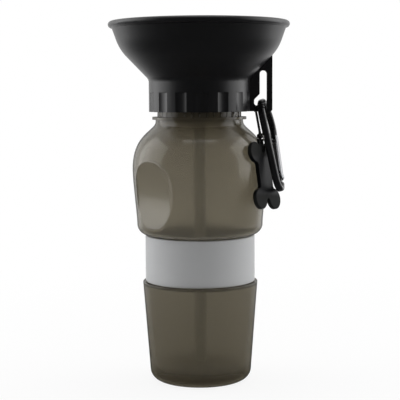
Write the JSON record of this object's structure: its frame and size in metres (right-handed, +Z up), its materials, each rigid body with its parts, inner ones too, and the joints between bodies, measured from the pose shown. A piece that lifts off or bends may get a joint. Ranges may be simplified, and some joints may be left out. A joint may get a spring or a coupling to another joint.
{
  "type": "dog travel water bottle",
  "caption": "Squeeze water bottle with a flared drinking bowl screwed on its neck, a grip band, and a sprung hook in a slotted fin that also carries a bone-shaped tag.",
  "frame": {"origin": "middle of the base, on the plane the bottle stands on", "axes": "+Z up along the bottle's axis, +X towards the hang fin, -Y towards the front in the picture"},
  "size_m": [0.11, 0.11, 0.2198],
  "materials": {
    "bottle_plastic": "smoky translucent, blow moulded",
    "band_rubber": "matte light grey",
    "gasket_rubber": "soft silicone",
    "bowl_plastic": "satin black, injection moulded",
    "tube_plastic": "extruded, natural",
    "cap_plastic": "satin black",
    "hook_aluminium": "black anodised",
    "gate_aluminium": "polished",
    "pin_steel": "bright drawn",
    "strap_cord": "thin black braided cord",
    "ring_steel": "nickel plated",
    "tag_plastic": "black, glossy shaft with matte lobes, left bare"
  },
  "bodies": {
    "bottle": {"bottle": "bottle_plastic", "grip_band": "band_rubber"},
    "gasket": {"neck_gasket": "gasket_rubber"},
    "bowl": {"drinking_bowl": "bowl_plastic", "riser_tube": "tube_plastic", "diffuser_cap": "cap_plastic"},
    "carabiner": {"carabiner_body": "hook_aluminium", "gate_hinge_pin": "pin_steel", "tag_strap": "strap_cord"},
    "gate": {"carabiner_gate": "gate_aluminium", "gate_latch_pin": "pin_steel", "gate_spring": "pin_steel", "gate_plunger": "pin_steel"},
    "tag": {"tag_jump_ring": "ring_steel", "bone_tag": "tag_plastic"}
  },
  "joints": [
    {"name": "bowl_rise", "type": "slide", "parent": "bottle", "child": "gasket", "axis": [0, 0, 1], "range_m": [0, 0.006]},
    {"name": "bowl_turn", "type": "hinge", "parent": "gasket", "child": "bowl", "pos_m": [0, 0, 0.1828], "axis": [0, 0, 1], "range_deg": [0, 540]},
    {"name": "carabiner_swing", "type": "hinge", "parent": "bowl", "child": "carabiner", "pos_m": [0.03824, 0, 0.17115], "axis": [-0.225, -0.9744, 0], "range_deg": [0, 90]},
    {"name": "gate_open", "type": "hinge", "parent": "carabiner", "child": "gate", "pos_m": [0.04832, -0.01142, 0.12556], "axis": [0.9403, -0.2171, 0.2622], "range_deg": [0, 15], "stiffness_Nm_per_rad": 0.03, "springref_deg": -17.19},
    {"name": "tag_swing", "type": "hinge", "parent": "carabiner", "child": "tag", "pos_m": [0.0362, -0.01792, 0.1516], "axis": [-0.8088, 0.558, -0.1857], "range_deg": [0, 25]}
  ],
  "couplings": [
    {"joint": "bowl_rise", "follows": "bowl_turn", "m_per_rad": 0.00063662}
  ]
}
